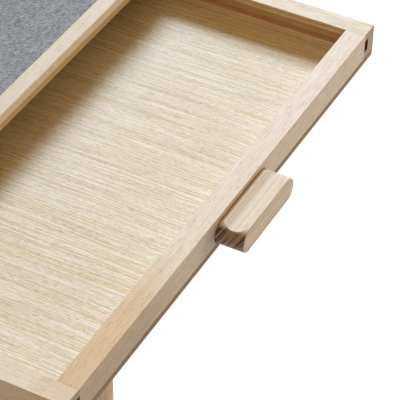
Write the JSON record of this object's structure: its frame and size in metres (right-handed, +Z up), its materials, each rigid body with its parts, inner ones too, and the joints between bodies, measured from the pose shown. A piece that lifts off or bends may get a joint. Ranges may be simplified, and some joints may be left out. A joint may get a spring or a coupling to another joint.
{
  "type": "jigsaw puzzle table with drawers",
  "caption": "Wooden jigsaw puzzle table with a felt field inside a raised rim, shallow drawers that slide out of its long sides, and straight round legs.",
  "frame": {"origin": "on the floor, under the middle of the table as it stands with its front right drawer pulled out", "axes": "+X along the long side, to the right seen from the front; +Y from the front long side to the back; +Z up"},
  "size_m": [1.061, 0.981, 0.73],
  "materials": {
    "frame_wood": "satin",
    "handle_wood": "satin",
    "rim_wood": "satin",
    "case_wood": "satin",
    "leg_wood": "satin",
    "veneered_ply": "matte",
    "birch_ply": "matte",
    "grey_felt": "matte",
    "zinc_steel": "satin",
    "glide_nylon": "matte"
  },
  "bodies": {
    "table": {"felt_mat": "grey_felt", "rim_front": "rim_wood", "rim_right": "rim_wood", "rim_back": "rim_wood", "rim_left": "rim_wood", "top_board": "birch_ply", "side_panel_left": "case_wood", "side_panel_right": "case_wood", "centre_divider": "case_wood", "spine": "case_wood", "base_board": "birch_ply", "base_screws": "zinc_steel", "leg_plates": "zinc_steel", "hanger_bolts": "zinc_steel", "plate_screws": "zinc_steel", "leg_front_left": "leg_wood", "foot_glide_front_left": "glide_nylon", "leg_front_right": "leg_wood", "foot_glide_front_right": "glide_nylon", "leg_back_left": "leg_wood", "foot_glide_back_left": "glide_nylon", "leg_back_right": "leg_wood", "foot_glide_back_right": "glide_nylon"},
    "drawer_front_left": {"drawer_front_left_left_side": "frame_wood", "drawer_front_left_right_side": "frame_wood", "drawer_front_left_front_rail": "frame_wood", "drawer_front_left_back_rail": "frame_wood", "drawer_front_left_bottom": "veneered_ply", "drawer_front_left_handle": "handle_wood", "drawer_front_left_handle_screws": "zinc_steel"},
    "drawer_front_right": {"drawer_front_right_left_side": "frame_wood", "drawer_front_right_right_side": "frame_wood", "drawer_front_right_front_rail": "frame_wood", "drawer_front_right_back_rail": "frame_wood", "drawer_front_right_bottom": "veneered_ply", "drawer_front_right_handle": "handle_wood", "drawer_front_right_handle_screws": "zinc_steel"},
    "drawer_back_left": {"drawer_back_left_left_side": "frame_wood", "drawer_back_left_right_side": "frame_wood", "drawer_back_left_front_rail": "frame_wood", "drawer_back_left_back_rail": "frame_wood", "drawer_back_left_bottom": "veneered_ply", "drawer_back_left_handle": "handle_wood", "drawer_back_left_handle_screws": "zinc_steel"},
    "drawer_back_right": {"drawer_back_right_left_side": "frame_wood", "drawer_back_right_right_side": "frame_wood", "drawer_back_right_front_rail": "frame_wood", "drawer_back_right_back_rail": "frame_wood", "drawer_back_right_bottom": "veneered_ply", "drawer_back_right_handle": "handle_wood", "drawer_back_right_handle_screws": "zinc_steel"}
  },
  "joints": [
    {"name": "drawer_front_left_slide", "type": "slide", "parent": "table", "child": "drawer_front_left", "axis": [0, -1, 0], "range_m": [0, 0.253]},
    {"name": "drawer_front_right_slide", "type": "slide", "parent": "table", "child": "drawer_front_right", "axis": [0, -1, 0], "range_m": [-0.193, 0.06]},
    {"name": "drawer_back_left_slide", "type": "slide", "parent": "table", "child": "drawer_back_left", "axis": [0, 1, 0], "range_m": [0, 0.253]},
    {"name": "drawer_back_right_slide", "type": "slide", "parent": "table", "child": "drawer_back_right", "axis": [0, 1, 0], "range_m": [0, 0.253]}
  ]
}
